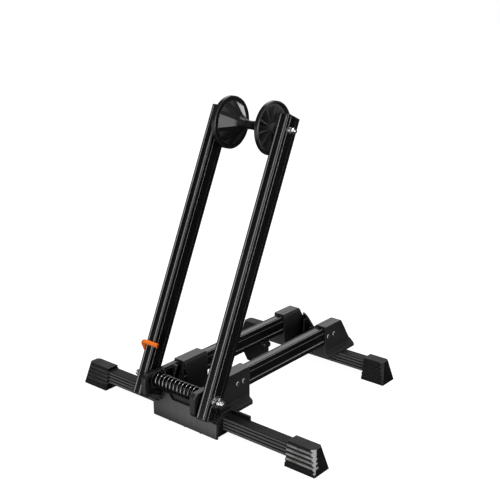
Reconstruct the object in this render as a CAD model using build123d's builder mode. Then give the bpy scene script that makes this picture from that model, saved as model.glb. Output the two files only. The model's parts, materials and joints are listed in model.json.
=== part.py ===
"""Twin-pole rear-hub bicycle stand.

X runs along the crossbars, +Y to the back, +Z up. The origin is on the floor
under the middle of the stand. Side pieces are made once for each side, where
side is -1 for the left and +1 for the right, and "out" is away from the middle.
"""
import math
import os

from build123d import *

# ---- Extruded section of the poles and rails -------------------------------
EXT_W = 16.0            # narrow way, across the stand
EXT_D = 28.0            # deep way
EXT_WALL = 2.0
EXT_CORNER = 1.5
CHANNEL_W = 13.9        # shallow channel along each wide face
CHANNEL_DEPTH = 0.9
GROOVE = 1.5            # side of the square that cuts each V-groove
GROOVE_X = 4.9          # the two grooves of each narrow face, from its middle

# ---- Crossbars --------------------------------------------------------------
BAR_D = 17.0            # front to back
BAR_H = 20.0
BAR_Z = 20.0            # height of the bar's centre line
BAR_WALL = 2.0
BAR_GROOVE = 1.8        # width of its grooves, cut half as deep
BAR_GROOVE_PITCH = 5.0
FRONT_BAR_Y = -132.0
REAR_BAR_Y = 153.0
FRONT_FOOT_IN = 172.5   # inner and outer end of each foot, from the middle
FRONT_FOOT_OUT = 221.5
REAR_FOOT_IN = 106.0
REAR_FOOT_OUT = 146.5

# ---- Rubber feet ------------------------------------------------------------
FOOT_H = 34.3
FOOT_BASE = 33.0        # front to back on the floor
FOOT_TOP = 20.6
FOOT_END_SLOPE = 6.0    # how far the outer end leans in at the top
FOOT_CORNER = 4.5       # bevel on its outer upright corners
FOOT_POCKET = 33.0      # how far the bar goes in
FOOT_GROOVES = 5        # grooves between the ribs of its front and back
FOOT_GROOVE_LOW = 7.0   # height of the lowest one
FOOT_GROOVE_PITCH = 6.0
FOOT_GROOVE_W = 2.6
FOOT_GROOVE_DEPTH = 1.2

# ---- Rails and their sockets ------------------------------------------------
RAIL_X = 40.5
RAIL_Z = 62.0
RAIL_FRONT = -119.0
RAIL_BACK = 162.0
SOCKET_IN = 30.0        # inner and outer faces of the mouldings' sides
SOCKET_OUT = 51.0
SOCKET_TOP = 80.0
SOCKET_WALL = 3.5
SCREW_R = 1.9           # the screws that hold the rails, run in from the outside
SCREW_HEAD_R = 3.2
SCREW_HEAD_T = 1.8
SCREW_SUNK = 1.4        # depth of the head's seat

# ---- Front moulding ---------------------------------------------------------
CHEEK_IN = 46.0         # inner face of the cheek plate
CHEEK_RIM_IN = 42.5     # the rim round its edge is wider
CHEEK_RIM_T = 5.0
CHEEK_TOP = 77.5
BOSS_IN = 41.0          # boss round the pivot bore
BOSS_R = 12.5
CHEEK_FRONT = -188.0
CHEEK_LOW = 41.0
FRONT_SOCKET_Y = -122.0
FRONT_SOCKET_BACK = -72.0
WALL_Y = -156.0         # front face of the low front wall
WALL_T = 3.0
WALL_HALF = 62.0
WEB_Y = -153.0          # cross web behind the spring
WEB_TOP = 68.0
SLEEVE_HALF = 60.0      # the box that the crossbar runs through
SKIRT_HALF = 57.5
SLEEVE_D = 24.0
SLEEVE_TOP = 36.0
SLEEVE_LOW = 5.0
LIP_OUT = 93.5          # lip that runs out along the back of the bar
LIP_T = 3.0
LIP_TOP = 35.0

# ---- Rear moulding ----------------------------------------------------------
REAR_SOCKET_Y = 115.0
REAR_TOP_BACK = 158.0
REAR_BACK = 188.8
REAR_LOW = 26.5
REAR_WEB_Y = 168.0
SADDLE_LOW = 25.0       # saddle over the rear crossbar
SADDLE_TOP = 33.0

# ---- Pivot of each pole -----------------------------------------------------
PIVOT_Y = -164.6
PIVOT_Z = 64.8
LEAN = 24.6             # degrees back from upright
POLE_X = 61.0           # centre of the pole
POLE_BELOW = 26.0       # pole length below the pivot
POLE_ABOVE = 380.0      # pivot to cone axis
POLE_TIP = 18.5         # pole length above the cone axis
BUSH_IN = 36.5          # inner end of the bush, inside the spring's end coils
BUSH_R = 7.4
BUSH_FLANGE_R = 12.0
BUSH_SLOT = 2.4         # how far the bolt can rise in the bush
BOLT_R = 4.0
BOLT_IN = 38.0
BOLT_TAIL = 14.0        # how far the bolt stands out of the pole
WASHER_R = 9.5
WASHER_T = 1.8
NUT_ACROSS = 13.0
NUT_T = 7.5
RUN = 0.05              # running clearance

# ---- Cones ------------------------------------------------------------------
CONE_TIP = 0.6          # nose tip, from the middle
NOSE_R = 6.2
NOSE_RECESS_R = 5.0
CONE_NECK = 17.0        # where the nose meets the facets
NECK_R = 11.6
FACETS_IN_R = 12.2      # inner and outer end of the facets
CONE_R = 32.4
FLANGE_R = 37.8         # round flange outside them
FLANGE_T = 2.4
RIM_DEPTH = 7.0         # the flange's rim runs back this far
RIM_WALL = 1.8
CONE_HUB = 10.0         # how far the hub stands out behind the flange's front
CONE_FACE = 34.8        # flange front, from the middle
CONE_SHELL = 2.4
CONE_SIDES = 10
CONE_TURN = 6.0         # degrees from +Y to the first ridge between facets
CONE_RIBS = 10
CONE_RIB_T = 1.8
CONE_HUB_R = 8.0
CONE_BOLT_R = 3.0
CONE_BOLT_IN = 2.5      # face of its head, from the middle
CONE_BOLT_TAIL = 9.0
CONE_WASHER_R = 5.4
CONE_WASHER_T = 1.6
CONE_NUT_ACROSS = 9.0
CONE_NUT_T = 5.5

# ---- Spring -----------------------------------------------------------------
SPRING_R = 9.2          # to the middle of the wire
WIRE_R = 1.4
SPRING_LEN = 76.0
SPRING_TURNS = 11

# ---- Safety hook on the left pole -------------------------------------------
HOOK_PIN_UP = 30.0      # up the pole from the pivot
HOOK_BEND_UP = 47.0
HOOK_WIRE_R = 1.5
HOOK_EYE_T = 3.4        # thickness of the eye round the pin
HOOK_SLEEVE_R = 3.2
HOOK_X = 72.6
HOOK_END_X = 42.0

# ---- Bracket under the left rail --------------------------------------------
BRACKET_FRONT = 28.0
BRACKET_BACK = 77.0
BRACKET_LOW = 20.0
BRACKET_SCREW_Z = 43.5
KNOB_R = 5.2
KNOB_Z = 37.0

SIDES = (("left", -1), ("right", 1))

os.makedirs("parts", exist_ok=True)


def pole_plane(x, up=0.0, ahead=0.0):
    """Plane across the leaning pole: its normal runs up the pole."""
    lean = math.radians(LEAN)
    along = (0, math.sin(lean), math.cos(lean))
    forward = (0, -math.cos(lean), math.sin(lean))
    y = PIVOT_Y + up * along[1] + ahead * forward[1]
    z = PIVOT_Z + up * along[2] + ahead * forward[2]
    return Plane(origin=(x, y, z), x_dir=(1, 0, 0), z_dir=along)


def out_plane(side, x, y, z):
    """Plane facing outwards on one side, x from the middle."""
    return Plane(origin=(side * x, y, z), x_dir=(0, 1, 0), z_dir=(side, 0, 0))


CONE_Y, CONE_Z = pole_plane(0, POLE_ABOVE).origin.Y, pole_plane(0, POLE_ABOVE).origin.Z
HOOK_PIN = pole_plane(0, HOOK_PIN_UP).origin


def extruded_section(plane):
    """Hollow section shared by poles and rails, deep way along the plane's y."""
    with BuildSketch(plane) as section:
        RectangleRounded(EXT_W, EXT_D, EXT_CORNER)
        with GridLocations(EXT_W, 1, 2, 1):
            Rectangle(2 * CHANNEL_DEPTH, CHANNEL_W, mode=Mode.SUBTRACT)
        with GridLocations(2 * GROOVE_X, EXT_D, 2, 2):
            Rectangle(GROOVE, GROOVE, rotation=45, mode=Mode.SUBTRACT)
        Rectangle(EXT_W - 2 * EXT_WALL, EXT_D - 2 * EXT_WALL, mode=Mode.SUBTRACT)
    return section.sketch


def make_washer(side, x, y, z, radius, bore, thick):
    """Flat ring standing on the plane at x."""
    with BuildPart() as washer:
        with BuildSketch(out_plane(side, x, y, z)):
            Circle(radius)
            Circle(bore, mode=Mode.SUBTRACT)
        extrude(amount=thick)
        chamfer(washer.edges().filter_by(GeomType.CIRCLE).group_by(Axis.X)[-1], 0.2)
    return washer


def make_nut(side, x, y, z, across, bore, thick):
    """Plain hexagon nut standing on the plane at x, corners eased."""
    with BuildPart() as nut:
        with BuildSketch(out_plane(side, x, y, z)):
            RegularPolygon(across / 2, 6, major_radius=False)
        extrude(amount=thick)
        with BuildSketch(out_plane(side, x, y, z)):
            Circle(across * 0.56)
        extrude(amount=thick, mode=Mode.INTERSECT)
        with BuildSketch(out_plane(side, x, y, z)):
            Circle(bore)
        extrude(amount=thick, mode=Mode.SUBTRACT)
    return nut


def make_foot(side, inner, outer, bar_y):
    """Ribbed rubber foot over one end of a crossbar."""
    length = outer - inner
    slope = (FOOT_BASE - FOOT_TOP) / 2 / FOOT_H
    with BuildPart() as foot:
        with BuildSketch(out_plane(side, inner, bar_y, 0)):
            with BuildLine():
                Polyline(
                    (-FOOT_BASE / 2, 0),
                    (FOOT_BASE / 2, 0),
                    (FOOT_TOP / 2, side * FOOT_H),
                    (-FOOT_TOP / 2, side * FOOT_H),
                    close=True,
                )
            make_face()
        extrude(amount=length)
        # the outer end leans in towards the top
        with BuildSketch(Plane.XZ.offset(-bar_y + FOOT_BASE)):
            with BuildLine():
                Polyline(
                    (side * inner, 0),
                    (side * outer, 0),
                    (side * (outer - FOOT_END_SLOPE), FOOT_H),
                    (side * inner, FOOT_H),
                    close=True,
                )
            make_face()
        extrude(amount=-2 * FOOT_BASE, mode=Mode.INTERSECT)
        top_edges = foot.faces().sort_by(Axis.Z)[-1].edges()
        fillet(top_edges.filter_by(Axis.X), 1.4)
        # bevels that narrow the outer end towards the top
        for way in (-1, 1):
            with BuildSketch(Plane.XY.offset(FOOT_H)):
                with BuildLine():
                    Polyline(
                        (side * (outer - FOOT_END_SLOPE - FOOT_CORNER), bar_y + way * FOOT_BASE),
                        (side * (outer - FOOT_END_SLOPE - FOOT_CORNER), bar_y + way * FOOT_TOP / 2),
                        (side * (outer - FOOT_END_SLOPE), bar_y + way * (FOOT_TOP / 2 - FOOT_CORNER)),
                        (side * (outer + 1), bar_y + way * (FOOT_TOP / 2 - FOOT_CORNER)),
                        (side * (outer + 1), bar_y + way * FOOT_BASE),
                        close=True,
                    )
                make_face()
            with BuildSketch(Plane.XY):
                with BuildLine():
                    Polyline(
                        (side * (outer - 0.8), bar_y + way * FOOT_BASE),
                        (side * (outer - 0.8), bar_y + way * FOOT_BASE / 2),
                        (side * (outer + 0.1), bar_y + way * (FOOT_BASE / 2 - 0.8)),
                        (side * (outer + 1), bar_y + way * (FOOT_BASE / 2 - 0.8)),
                        (side * (outer + 1), bar_y + way * FOOT_BASE),
                        close=True,
                    )
                make_face()
            loft(ruled=True, mode=Mode.SUBTRACT)
        # horizontal grooves leave ribs on the front and back above a plain base
        for row in range(FOOT_GROOVES):
            level = FOOT_GROOVE_LOW + row * FOOT_GROOVE_PITCH
            left_standing = FOOT_BASE - 2 * slope * level - 2 * FOOT_GROOVE_DEPTH
            with BuildSketch(out_plane(side, inner, bar_y, level)):
                Rectangle(FOOT_BASE, FOOT_GROOVE_W)
                Rectangle(left_standing, FOOT_GROOVE_W, mode=Mode.SUBTRACT)
            extrude(amount=length, mode=Mode.SUBTRACT)
        with BuildSketch(out_plane(side, inner, bar_y, BAR_Z)):
            Rectangle(BAR_D, BAR_H)
        extrude(amount=FOOT_POCKET, mode=Mode.SUBTRACT)
    return foot


def make_crossbar(half, bar_y):
    """Hollow crossbar with three grooves on its front and back."""
    with BuildPart() as bar:
        with BuildSketch(Plane.YZ.offset(-half)):
            with Locations((bar_y, BAR_Z)):
                Rectangle(BAR_D, BAR_H)
                with GridLocations(BAR_D, BAR_GROOVE_PITCH, 2, 3):
                    Rectangle(BAR_GROOVE, BAR_GROOVE, mode=Mode.SUBTRACT)
                Rectangle(BAR_D - 2 * BAR_WALL - 1, BAR_H - 2 * BAR_WALL, mode=Mode.SUBTRACT)
        extrude(amount=2 * half)
    return bar


def make_socket_screws(places):
    """Button-head screws that hold the rails in one moulding."""
    seat = SOCKET_OUT - SCREW_SUNK
    tip = RAIL_X + EXT_W / 2 - EXT_WALL - 1
    with BuildPart() as screws:
        for side in (-1, 1):
            for y in places:
                with BuildSketch(out_plane(side, seat, y, RAIL_Z)):
                    Circle(SCREW_HEAD_R)
                extrude(amount=SCREW_HEAD_T)
                with BuildSketch(out_plane(side, seat + SCREW_HEAD_T, y, RAIL_Z)):
                    RegularPolygon(1.4, 6)
                extrude(amount=-1.1, mode=Mode.SUBTRACT)
                with BuildSketch(out_plane(side, tip, y, RAIL_Z)):
                    Circle(SCREW_R)
                extrude(amount=seat - tip)
    return screws


FRONT_SCREWS = (-98.0, -85.0)
REAR_SCREWS = (123.5, 139.0)


# ---- Front moulding ---------------------------------------------------------
with BuildPart() as front_cradle:
    # cheek plate, from its rounded nose in front of the pivot back to the socket
    with BuildSketch(Plane.YZ.offset(CHEEK_IN)) as cheek_outline:
        with BuildLine():
            Polyline(
                (CHEEK_FRONT, CHEEK_LOW + 4),
                (CHEEK_FRONT, CHEEK_TOP),
                (FRONT_SOCKET_Y + 8, CHEEK_TOP),
                (FRONT_SOCKET_Y + 8, SLEEVE_LOW),
                (WALL_Y + 1, SLEEVE_LOW),
                (WALL_Y + 1, 30),
                (CHEEK_FRONT + 12, CHEEK_LOW),
                close=True,
            )
        make_face()
        fillet(cheek_outline.vertices().group_by(Axis.X)[0], 7)
    extrude(amount=SOCKET_OUT - CHEEK_IN)
    cheek_edges = front_cradle.faces().sort_by(Axis.X)[-1].edges()
    rim_edges = cheek_edges.filter_by(
        lambda edge: edge.center().Y < WALL_Y or edge.center().Z > CHEEK_TOP - 3
    )
    fillet(rim_edges, 1.6)
    # the rim that widens its edge, and the boss round the pivot bore
    with BuildSketch(Plane.YZ.offset(CHEEK_RIM_IN)):
        add(Plane.YZ.to_local_coords(cheek_outline.sketch.moved(Location((-CHEEK_IN, 0, 0)))))
        offset(amount=-CHEEK_RIM_T, mode=Mode.SUBTRACT)
        with Locations((FRONT_SOCKET_Y + 8, 0)):
            Rectangle(8, 200, mode=Mode.SUBTRACT)
    extrude(amount=CHEEK_IN - CHEEK_RIM_IN)
    with BuildSketch(Plane.YZ.offset(BOSS_IN)):
        with Locations((PIVOT_Y, PIVOT_Z)):
            Circle(BOSS_R)
    extrude(amount=CHEEK_IN - BOSS_IN)
    # socket for the rail, with a leaning front and a set-back inner side
    with BuildSketch(Plane.YZ.offset(SOCKET_IN + SOCKET_WALL)):
        with BuildLine():
            Polyline(
                (FRONT_SOCKET_Y - 6, 30),
                (FRONT_SOCKET_Y - 6, 34),
                (FRONT_SOCKET_Y + 2, SOCKET_TOP),
                (FRONT_SOCKET_BACK, SOCKET_TOP),
                (FRONT_SOCKET_BACK, 30),
                close=True,
            )
        make_face()
    extrude(amount=SOCKET_OUT - SOCKET_IN - SOCKET_WALL)
    with BuildSketch(Plane.YZ.offset(SOCKET_IN)):
        with BuildLine():
            Polyline(
                (FRONT_SOCKET_Y + 10, 22),
                (FRONT_SOCKET_Y + 9, 42),
                (FRONT_SOCKET_Y + 2, SOCKET_TOP),
                (FRONT_SOCKET_BACK, SOCKET_TOP),
                (FRONT_SOCKET_BACK, 22),
                close=True,
            )
        make_face()
    extrude(amount=SOCKET_WALL)
    chamfer(front_cradle.edges().filter_by(Axis.Y).group_by(Axis.Z)[-1].sort_by(Axis.X)[0], 3)
    # two leaning ribs inside the cheek
    for rib_y in (FRONT_SOCKET_Y - 28, FRONT_SOCKET_Y - 14):
        with BuildSketch(Plane.YZ.offset(CHEEK_IN - 10)):
            with BuildLine():
                Polyline(
                    (rib_y, 34),
                    (rib_y + 18, CHEEK_TOP - 1),
                    (rib_y + 20.6, CHEEK_TOP - 1),
                    (rib_y + 2.6, 34),
                    close=True,
                )
            make_face()
        extrude(amount=10)
    # flared skirt along the foot of the outer side
    with BuildSketch(Plane.XZ.offset(-WALL_Y - WALL_T)):
        with BuildLine():
            Polyline(
                (SOCKET_OUT - 2, 39),
                (SLEEVE_HALF, 31),
                (SLEEVE_HALF, 25),
                (SOCKET_OUT - 2, 25),
                close=True,
            )
        make_face()
    extrude(amount=-(FRONT_SOCKET_BACK - WALL_Y - WALL_T - 4))
    # box round the crossbar, and the lip along the back of the bar
    with BuildSketch(Plane.YZ):
        with Locations((FRONT_BAR_Y, (SLEEVE_LOW + SLEEVE_TOP) / 2)):
            Rectangle(SLEEVE_D, SLEEVE_TOP - SLEEVE_LOW)
    extrude(amount=SLEEVE_HALF)
    with BuildSketch(Plane.YZ):
        with Locations((FRONT_BAR_Y + BAR_D / 2 + LIP_T / 2, (LIP_TOP + SLEEVE_LOW + 9) / 2)):
            Rectangle(LIP_T, LIP_TOP - SLEEVE_LOW - 9)
    extrude(amount=LIP_OUT)
    # low front wall with a raised post near each end
    with BuildSketch(Plane.XZ.offset(-WALL_Y)):
        with BuildLine():
            Polyline(
                (0, 1.5),
                (WALL_HALF, 1.5),
                (WALL_HALF, 24),
                (48, 26),
                (40, 44),
                (29, 44),
                (23, 36),
                (0, 36),
                close=True,
            )
        make_face()
    extrude(amount=-WALL_T)
    wall_edges = front_cradle.edges().filter_by(Axis.Z).filter_by_position(Axis.Y, WALL_Y, WALL_Y)
    fillet(wall_edges.sort_by(Axis.X)[-1], 2.5)
    # side of the front box, from the wall back to the bar
    with BuildSketch(Plane.YZ.offset(SLEEVE_HALF - 3)):
        with BuildLine():
            Polyline(
                (WALL_Y + 1, 3),
                (WALL_Y + 1, 24),
                (WALL_Y + 5, 31),
                (FRONT_BAR_Y, 31),
                (FRONT_BAR_Y, 3),
                close=True,
            )
        make_face()
    extrude(amount=3)
    # cross web behind the spring, and the shelf between it and the bar
    with BuildSketch(Plane.XZ.offset(-WEB_Y)):
        with BuildLine():
            Polyline(
                (0, SLEEVE_LOW + 2),
                (CHEEK_IN + 1, SLEEVE_LOW + 2),
                (CHEEK_IN + 1, CHEEK_TOP - 1),
                (BOSS_IN, CHEEK_TOP - 1),
                (BOSS_IN - 2.5, CHEEK_TOP - 9),
                (32, WEB_TOP + 1),
                (27, WEB_TOP),
                (0, WEB_TOP),
                close=True,
            )
        make_face()
    extrude(amount=-3)
    with BuildSketch(Plane.XY.offset(30)):
        with Locations((0, (WEB_Y + FRONT_BAR_Y) / 2)):
            Rectangle(2 * CHEEK_IN + 2, FRONT_BAR_Y - WEB_Y)
    extrude(amount=3)
    mirror(about=Plane.YZ)
    # mould pips along the foot of the wall
    with BuildSketch(Plane.XY.offset(0.3)):
        with GridLocations(30, 1, 3, 1):
            with Locations((0, WALL_Y + 1.5)):
                Circle(1.2)
    extrude(amount=2)
    # openings: crossbar, rails, pivot bores and screw holes
    with BuildSketch(Plane.YZ.offset(-LIP_OUT)):
        with Locations((FRONT_BAR_Y, BAR_Z)):
            Rectangle(BAR_D, BAR_H)
    extrude(amount=2 * LIP_OUT, mode=Mode.SUBTRACT)
    with BuildSketch(Plane.XZ.offset(-RAIL_FRONT)):
        with GridLocations(2 * RAIL_X, 1, 2, 1):
            with Locations((0, RAIL_Z)):
                Rectangle(EXT_W, EXT_D)
    extrude(amount=-60, mode=Mode.SUBTRACT)
    for side in (-1, 1):
        with BuildSketch(out_plane(side, BOSS_IN - 1, PIVOT_Y, PIVOT_Z)):
            Circle(BUSH_R + RUN)
        extrude(amount=SOCKET_OUT - BOSS_IN + 2, mode=Mode.SUBTRACT)
        for y in FRONT_SCREWS:
            with BuildSketch(out_plane(side, RAIL_X, y, RAIL_Z)):
                Circle(SCREW_R + 0.1)
            extrude(amount=SOCKET_OUT - RAIL_X, mode=Mode.SUBTRACT)
            with BuildSketch(out_plane(side, SOCKET_OUT - SCREW_SUNK, y, RAIL_Z)):
                Circle(SCREW_HEAD_R + 0.4)
            extrude(amount=3, mode=Mode.SUBTRACT)
front_cradle.part.label = "front_cradle"
export_step(front_cradle.part, "parts/front_cradle.step")


# ---- Rear moulding ----------------------------------------------------------
with BuildPart() as rear_cradle:
    with BuildSketch(Plane.YZ.offset(SOCKET_IN)) as rear_outline:
        with BuildLine():
            Polyline(
                (REAR_SOCKET_Y, REAR_LOW),
                (REAR_SOCKET_Y, SOCKET_TOP),
                (REAR_TOP_BACK, SOCKET_TOP),
                (REAR_TOP_BACK + 8, SOCKET_TOP - 12),
                (REAR_BACK, 33),
                (REAR_BACK, REAR_LOW),
                close=True,
            )
        make_face()
        fillet(rear_outline.vertices().group_by(Axis.Y)[-1].sort_by(Axis.X)[-1], 5)
    extrude(amount=SOCKET_OUT - SOCKET_IN)
    chamfer(rear_cradle.edges().filter_by(Axis.Y).group_by(Axis.Z)[-1].sort_by(Axis.X)[0], 3)
    # fine line along the top of the socket
    with BuildSketch(Plane.XY.offset(SOCKET_TOP - 0.5)):
        with Locations((RAIL_X - 1.5, (REAR_SOCKET_Y + REAR_TOP_BACK) / 2)):
            Rectangle(0.9, REAR_TOP_BACK - REAR_SOCKET_Y + 8)
    extrude(amount=2, mode=Mode.SUBTRACT)
    # flared skirts, outside and inside
    with BuildSketch(Plane.XZ.offset(-REAR_SOCKET_Y)):
        with BuildLine():
            Polyline(
                (SOCKET_IN + 2, 32),
                (SOCKET_IN - 5, 28),
                (SOCKET_IN - 5, REAR_LOW),
                (SKIRT_HALF, REAR_LOW),
                (SKIRT_HALF, 31),
                (SOCKET_OUT - 2, 39),
                close=True,
            )
        make_face()
    extrude(amount=-(REAR_BACK - REAR_SOCKET_Y))
    # saddle over the crossbar
    with BuildSketch(Plane.YZ):
        with Locations((REAR_BAR_Y, (SADDLE_LOW + SADDLE_TOP) / 2)):
            Rectangle(SLEEVE_D, SADDLE_TOP - SADDLE_LOW)
    extrude(amount=SKIRT_HALF - 4)
    # dished web between the two sockets, stiffened by upright ribs
    with BuildSketch(Plane.XZ.offset(-REAR_WEB_Y + 1.5)) as web:
        with BuildLine():
            Polyline((0, 47), (0, REAR_LOW), (SOCKET_IN + 1, REAR_LOW), (SOCKET_IN + 1, 69))
            Spline((SOCKET_IN + 1, 69), (19, 60), (10, 50), (0, 47), tangents=((-1, -0.4), (-1, 0)))
        make_face()
    extrude(amount=-3)
    for rib_x, rib_top in ((11.0, 49.0), (23.0, 61.0)):
        with BuildSketch(Plane.XY.offset(REAR_LOW)):
            with Locations((rib_x, REAR_WEB_Y - 5)):
                Rectangle(1.8, 8)
        extrude(amount=rib_top - REAR_LOW)
    mirror(about=Plane.YZ)
    with BuildSketch(Plane.YZ.offset(-SLEEVE_HALF)):
        with Locations((REAR_BAR_Y, BAR_Z)):
            Rectangle(BAR_D, BAR_H)
    extrude(amount=2 * SLEEVE_HALF, mode=Mode.SUBTRACT)
    with BuildSketch(Plane.XZ.offset(-REAR_SOCKET_Y)):
        with GridLocations(2 * RAIL_X, 1, 2, 1):
            with Locations((0, RAIL_Z)):
                Rectangle(EXT_W, EXT_D)
    extrude(amount=-(RAIL_BACK - REAR_SOCKET_Y), mode=Mode.SUBTRACT)
    for side in (-1, 1):
        for y in REAR_SCREWS:
            with BuildSketch(out_plane(side, RAIL_X, y, RAIL_Z)):
                Circle(SCREW_R + 0.1)
            extrude(amount=SOCKET_OUT - RAIL_X, mode=Mode.SUBTRACT)
            with BuildSketch(out_plane(side, SOCKET_OUT - SCREW_SUNK, y, RAIL_Z)):
                Circle(SCREW_HEAD_R + 0.4)
            extrude(amount=3, mode=Mode.SUBTRACT)
rear_cradle.part.label = "rear_cradle"
export_step(rear_cradle.part, "parts/rear_cradle.step")


# ---- Crossbars and feet -----------------------------------------------------
front_bar = make_crossbar(FRONT_FOOT_IN + FOOT_POCKET, FRONT_BAR_Y)
front_bar.part.label = "front_bar"
export_step(front_bar.part, "parts/front_bar.step")

rear_bar = make_crossbar(REAR_FOOT_IN + FOOT_POCKET, REAR_BAR_Y)
rear_bar.part.label = "rear_bar"
export_step(rear_bar.part, "parts/rear_bar.step")

for name, side in SIDES:
    front_foot = make_foot(side, FRONT_FOOT_IN, FRONT_FOOT_OUT, FRONT_BAR_Y)
    front_foot.part.label = f"{name}_front_foot"
    export_step(front_foot.part, f"parts/{name}_front_foot.step")

    rear_foot = make_foot(side, REAR_FOOT_IN, REAR_FOOT_OUT, REAR_BAR_Y)
    rear_foot.part.label = f"{name}_rear_foot"
    export_step(rear_foot.part, f"parts/{name}_rear_foot.step")


# ---- Rails and the screws that hold them ------------------------------------
for name, side in SIDES:
    with BuildPart() as rail:
        extrude(
            extruded_section(
                Plane(origin=(side * RAIL_X, RAIL_FRONT, RAIL_Z), x_dir=(1, 0, 0), z_dir=(0, 1, 0))
            ),
            amount=RAIL_BACK - RAIL_FRONT,
        )
        for y in FRONT_SCREWS + REAR_SCREWS:
            with BuildSketch(out_plane(side, RAIL_X, y, RAIL_Z)):
                Circle(SCREW_R)
            extrude(amount=EXT_W, mode=Mode.SUBTRACT)
    rail.part.label = f"{name}_rail"
    export_step(rail.part, f"parts/{name}_rail.step")

front_screws = make_socket_screws(FRONT_SCREWS)
front_screws.part.label = "front_socket_screws"
export_step(front_screws.part, "parts/front_socket_screws.step")

rear_screws = make_socket_screws(REAR_SCREWS)
rear_screws.part.label = "rear_socket_screws"
export_step(rear_screws.part, "parts/rear_socket_screws.step")


# ---- Poles, caps and pivots -------------------------------------------------
for name, side in SIDES:
    pole_x = side * POLE_X
    face_in = POLE_X - EXT_W / 2
    face_out = POLE_X + EXT_W / 2
    with BuildPart() as pole:
        extrude(
            extruded_section(pole_plane(pole_x, -POLE_BELOW)),
            amount=POLE_BELOW + POLE_ABOVE + POLE_TIP,
        )
        with BuildSketch(out_plane(side, face_in - 1, PIVOT_Y, PIVOT_Z)):
            Circle(BOLT_R)
        extrude(amount=EXT_W + 2, mode=Mode.SUBTRACT)
        with BuildSketch(out_plane(side, face_in - 1, CONE_Y, CONE_Z)):
            Circle(CONE_BOLT_R)
        extrude(amount=EXT_W + 2, mode=Mode.SUBTRACT)
        if side < 0:
            with BuildSketch(out_plane(side, POLE_X, HOOK_PIN.Y, HOOK_PIN.Z)):
                Circle(2.0)
            extrude(amount=EXT_W, mode=Mode.SUBTRACT)
    pole.part.label = f"{name}_pole"
    export_step(pole.part, f"parts/{name}_pole.step")

    for end, start, plug in (("top", POLE_ABOVE + POLE_TIP, -8.0), ("bottom", -POLE_BELOW, 8.0)):
        outward = math.copysign(1, -plug)
        with BuildPart() as cap:
            with BuildSketch(pole_plane(pole_x, start)):
                RectangleRounded(EXT_W, EXT_D, EXT_CORNER)
            extrude(amount=outward * 1.6)
            with BuildSketch(pole_plane(pole_x, start)):
                Rectangle(EXT_W - 2 * EXT_WALL, EXT_D - 2 * EXT_WALL)
            extrude(amount=plug)
        cap.part.label = f"{name}_pole_{end}_cap"
        export_step(cap.part, f"parts/{name}_pole_{end}_cap.step")

    # flanged bush that turns in the cheek; its slot lets the bolt tip with the pole
    slot_y = BUSH_SLOT / 2 * math.sin(math.radians(LEAN))
    slot_z = side * BUSH_SLOT / 2 * math.cos(math.radians(LEAN))
    with BuildPart() as bush:
        with BuildSketch(out_plane(side, BUSH_IN, PIVOT_Y, PIVOT_Z)):
            Circle(BUSH_R)
        extrude(amount=face_in - BUSH_IN - RUN)
        with BuildSketch(out_plane(side, SOCKET_OUT + RUN, PIVOT_Y, PIVOT_Z)):
            Circle(BUSH_FLANGE_R)
        extrude(amount=face_in - SOCKET_OUT - 2 * RUN)
        with BuildSketch(out_plane(side, BUSH_IN - 1, PIVOT_Y, PIVOT_Z)):
            with Locations(Location((slot_y, slot_z, 0), (0, 0, side * (90 - LEAN)))):
                SlotCenterToCenter(BUSH_SLOT, 2 * (BOLT_R + 0.2))
        extrude(amount=face_in, mode=Mode.SUBTRACT)
    bush.part.label = f"{name}_pivot_bush"
    export_step(bush.part, f"parts/{name}_pivot_bush.step")

    bolt_end = face_out + BOLT_TAIL
    with BuildPart() as bolt:
        with BuildSketch(out_plane(side, BOLT_IN, PIVOT_Y, PIVOT_Z)):
            Circle(BOLT_R)
        extrude(amount=bolt_end - BOLT_IN)
        chamfer(bolt.edges().filter_by(GeomType.CIRCLE), 0.6)
    bolt.part.label = f"{name}_pivot_bolt"
    export_step(bolt.part, f"parts/{name}_pivot_bolt.step")

    washer = make_washer(side, face_out, PIVOT_Y, PIVOT_Z, WASHER_R, BOLT_R, WASHER_T)
    washer.part.label = f"{name}_pivot_washer"
    export_step(washer.part, f"parts/{name}_pivot_washer.step")

    nut = make_nut(side, face_out + WASHER_T, PIVOT_Y, PIVOT_Z, NUT_ACROSS, BOLT_R, NUT_T)
    nut.part.label = f"{name}_pivot_nut"
    export_step(nut.part, f"parts/{name}_pivot_nut.step")


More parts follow.
